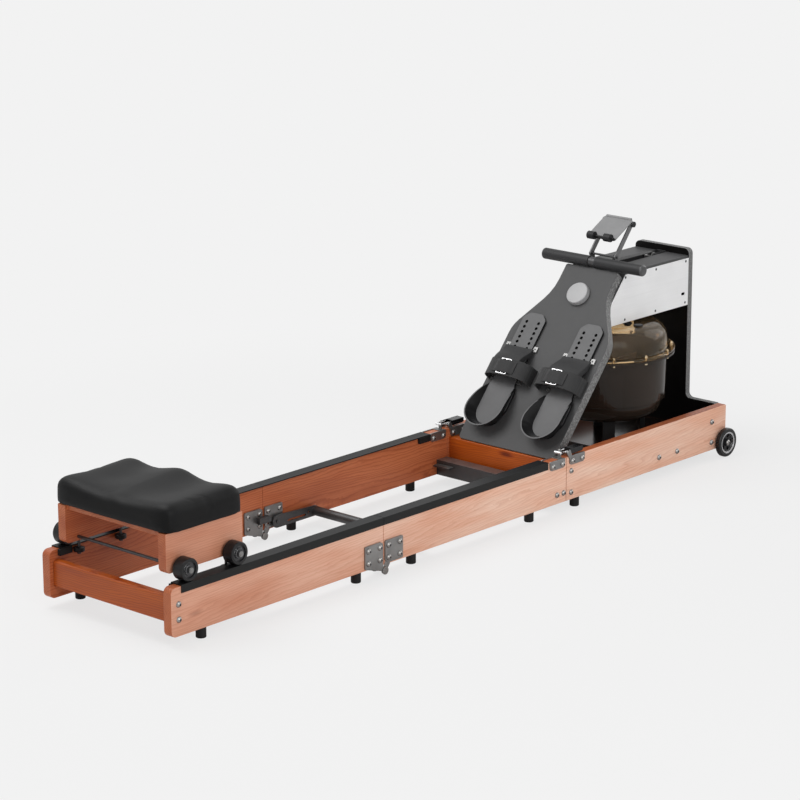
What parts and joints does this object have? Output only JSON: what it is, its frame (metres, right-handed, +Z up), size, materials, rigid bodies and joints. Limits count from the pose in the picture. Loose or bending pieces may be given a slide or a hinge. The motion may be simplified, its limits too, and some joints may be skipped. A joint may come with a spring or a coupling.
{
  "type": "water rowing machine",
  "caption": "Folding water rowing machine: wooden rail frame, rolling seat, footboard, amber water tank under a steel housing, pull handle and phone rest.",
  "frame": {"origin": "on the floor, under the middle of the machine's length and width", "axes": "+X from the seat end to the tank end, +Y across to the user's left when facing the tank, +Z up"},
  "size_m": [2.171, 0.4926, 0.6865],
  "materials": {
    "stained_pine": "satin clear coat",
    "track_black": "satin",
    "satin_steel": "satin",
    "bright_bolts": "polished",
    "rubber_black": "matte",
    "seat_skin": "satin",
    "black_plastic": "matte",
    "dark_board": "satin paint",
    "light_plastic": "satin",
    "footrest_grey": "satin",
    "panel_steel": "brushed",
    "amber_tank": "clear",
    "strap_webbing": "woven",
    "drum_plastic": "satin",
    "phone_metal": "satin",
    "black_lever": "gloss"
  },
  "bodies": {
    "frame": {"middle_rails": "stained_pine", "middle_tracks": "track_black", "middle_hinge_plates": "satin_steel", "hinge_pins": "bright_bolts", "frame_feet_and_stops": "rubber_black", "cross_channel": "satin_steel", "frame_bolts": "bright_bolts", "front_rails": "stained_pine", "front_crossbeam": "stained_pine", "front_upright": "dark_board", "base_board": "stained_pine", "tank_legs": "rubber_black", "footboard": "dark_board", "foot_disc": "light_plastic", "footrest_hardware": "satin_steel", "foot_straps": "strap_webbing", "housing_sides": "panel_steel", "housing_boards": "dark_board", "roller_bracket": "satin_steel", "inner_strap": "strap_webbing", "shaft_bearings": "bright_bolts", "phone_bracket": "satin_steel", "latch_plates": "satin_steel", "tank_upper": "amber_tank", "tank_lower": "amber_tank", "tank_gasket": "rubber_black", "tank_bolts": "bright_bolts", "filler_caps": "black_plastic"},
    "rear_section": {"rear_rails": "stained_pine", "rear_crossbeam": "stained_pine", "rear_tracks": "track_black", "rear_hinge_plates": "satin_steel", "rear_feet_and_stops": "rubber_black", "rear_bolts": "bright_bolts"},
    "fold_release": {"release_lever": "satin_steel"},
    "seat": {"seat_cushion": "seat_skin", "seat_frame": "stained_pine", "seat_axles": "bright_bolts"},
    "rear_rollers": {"rear_seat_rollers": "black_plastic"},
    "front_rollers": {"front_seat_rollers": "black_plastic"},
    "handle": {"handle_bar": "bright_bolts", "handle_grips": "rubber_black", "handle_strap": "strap_webbing"},
    "strap_roller": {"belt_roller": "bright_bolts"},
    "drum": {"strap_drum": "drum_plastic"},
    "paddle_wheel": {"paddle": "satin_steel"},
    "phone_arm": {"phone_arms": "phone_metal"},
    "phone_rest": {"phone_plate": "phone_metal"},
    "rear_left_guide": {"guide_roller_rear_left": "black_plastic"},
    "rear_right_guide": {"guide_roller_rear_right": "black_plastic"},
    "front_left_guide": {"guide_roller_front_left": "black_plastic"},
    "front_right_guide": {"guide_roller_front_right": "black_plastic"},
    "left_footrest": {"footrest_left": "footrest_grey"},
    "left_latch_lever": {"latch_lever_left": "black_lever"},
    "left_latch_bail": {"latch_bail_left": "bright_bolts"},
    "left_wheel": {"transport_wheel_left": "rubber_black"},
    "right_footrest": {"footrest_right": "footrest_grey"},
    "right_latch_lever": {"latch_lever_right": "black_lever"},
    "right_latch_bail": {"latch_bail_right": "bright_bolts"},
    "right_wheel": {"transport_wheel_right": "rubber_black"}
  },
  "joints": [
    {"name": "rear_fold", "type": "hinge", "parent": "frame", "child": "rear_section", "pos_m": [-0.3655, 0, 0.0128], "axis": [0, -1, 0], "range_deg": [0, 180]},
    {"name": "release_lever", "type": "hinge", "parent": "frame", "child": "fold_release", "pos_m": [-0.3275, 0, 0.045], "axis": [0, -1, 0], "range_deg": [0, 25]},
    {"name": "seat_slide", "type": "slide", "parent": "rear_section", "child": "seat", "axis": [1, 0, 0], "range_m": [0, 1.08]},
    {"name": "rear_roller_spin", "type": "hinge", "parent": "seat", "child": "rear_rollers", "pos_m": [-1.0235, 0, 0.1773], "axis": [0, 1, 0], "range_deg": [0, 2211]},
    {"name": "rear_left_guide_spin", "type": "hinge", "parent": "seat", "child": "rear_left_guide", "pos_m": [-1.0035, 0.1814, 0.136], "axis": [0, 0, 1], "range_deg": [0, 4421]},
    {"name": "rear_right_guide_spin", "type": "hinge", "parent": "seat", "child": "rear_right_guide", "pos_m": [-1.0035, -0.1814, 0.136], "axis": [0, 0, 1], "range_deg": [-4421, 0]},
    {"name": "front_roller_spin", "type": "hinge", "parent": "seat", "child": "front_rollers", "pos_m": [-0.8625, 0, 0.1773], "axis": [0, 1, 0], "range_deg": [0, 2211]},
    {"name": "front_left_guide_spin", "type": "hinge", "parent": "seat", "child": "front_left_guide", "pos_m": [-0.8685, 0.1814, 0.136], "axis": [0, 0, 1], "range_deg": [0, 4421]},
    {"name": "front_right_guide_spin", "type": "hinge", "parent": "seat", "child": "front_right_guide", "pos_m": [-0.8685, -0.1814, 0.136], "axis": [0, 0, 1], "range_deg": [-4421, 0]},
    {"name": "handle_pull", "type": "slide", "parent": "frame", "child": "handle", "axis": [-1, 0, 0], "range_m": [0, 1.2]},
    {"name": "strap_roller_spin", "type": "hinge", "parent": "frame", "child": "strap_roller", "pos_m": [0.9865, 0, 0.5505], "axis": [0, -1, 0], "range_deg": [0, 5502]},
    {"name": "drum_spin", "type": "hinge", "parent": "frame", "child": "drum", "pos_m": [0.7892, 0, 0.479], "axis": [0, 0, 1], "range_deg": [0, 1720]},
    {"name": "paddle_spin", "type": "hinge", "parent": "frame", "child": "paddle_wheel", "pos_m": [0.7892, 0, 0.23], "axis": [0, 0, 1], "continuous": true},
    {"name": "phone_arm_tilt", "type": "hinge", "parent": "frame", "child": "phone_arm", "pos_m": [0.7745, 0, 0.588], "axis": [0, 1, 0], "range_deg": [-10, 40]},
    {"name": "phone_rest_tilt", "type": "hinge", "parent": "phone_arm", "child": "phone_rest", "pos_m": [0.8415, 0, 0.67], "axis": [0, 1, 0], "range_deg": [-15, 35]},
    {"name": "left_footrest_slide", "type": "slide", "parent": "frame", "child": "left_footrest", "axis": [-0.6457, 0, -0.7636], "range_m": [0, 0.063]},
    {"name": "left_latch_lever_turn", "type": "hinge", "parent": "frame", "child": "left_latch_lever", "pos_m": [0.3561, 0.2085, 0.156], "axis": [0, -1, 0], "range_deg": [0, 110]},
    {"name": "left_latch_bail_turn", "type": "hinge", "parent": "left_latch_lever", "child": "left_latch_bail", "pos_m": [0.3631, 0.2085, 0.1615], "axis": [0, -1, 0], "range_deg": [-111, 0]},
    {"name": "left_wheel_spin", "type": "hinge", "parent": "frame", "child": "left_wheel", "pos_m": [1.0445, 0.234, 0.041], "axis": [0, 1, 0], "continuous": true},
    {"name": "right_footrest_slide", "type": "slide", "parent": "frame", "child": "right_footrest", "axis": [-0.6457, 0, -0.7636], "range_m": [0, 0.063]},
    {"name": "right_latch_lever_turn", "type": "hinge", "parent": "frame", "child": "right_latch_lever", "pos_m": [0.3561, -0.2085, 0.156], "axis": [0, -1, 0], "range_deg": [0, 110]},
    {"name": "right_latch_bail_turn", "type": "hinge", "parent": "right_latch_lever", "child": "right_latch_bail", "pos_m": [0.3631, -0.2085, 0.1615], "axis": [0, -1, 0], "range_deg": [-111, 0]},
    {"name": "right_wheel_spin", "type": "hinge", "parent": "frame", "child": "right_wheel", "pos_m": [1.0445, -0.234, 0.041], "axis": [0, 1, 0], "continuous": true}
  ],
  "couplings": [
    {"joint": "rear_roller_spin", "follows": "seat_slide", "rad_per_m": 35.714},
    {"joint": "rear_left_guide_spin", "follows": "seat_slide", "rad_per_m": 71.429},
    {"joint": "rear_right_guide_spin", "follows": "seat_slide", "rad_per_m": -71.429},
    {"joint": "front_roller_spin", "follows": "seat_slide", "rad_per_m": 35.714},
    {"joint": "front_left_guide_spin", "follows": "seat_slide", "rad_per_m": 71.429},
    {"joint": "front_right_guide_spin", "follows": "seat_slide", "rad_per_m": -71.429},
    {"joint": "strap_roller_spin", "follows": "handle_pull", "rad_per_m": 80},
    {"joint": "drum_spin", "follows": "handle_pull", "rad_per_m": 25},
    {"joint": "left_latch_bail_turn", "follows": "left_latch_lever_turn", "ratio": -1},
    {"joint": "right_latch_bail_turn", "follows": "right_latch_lever_turn", "ratio": -1}
  ]
}
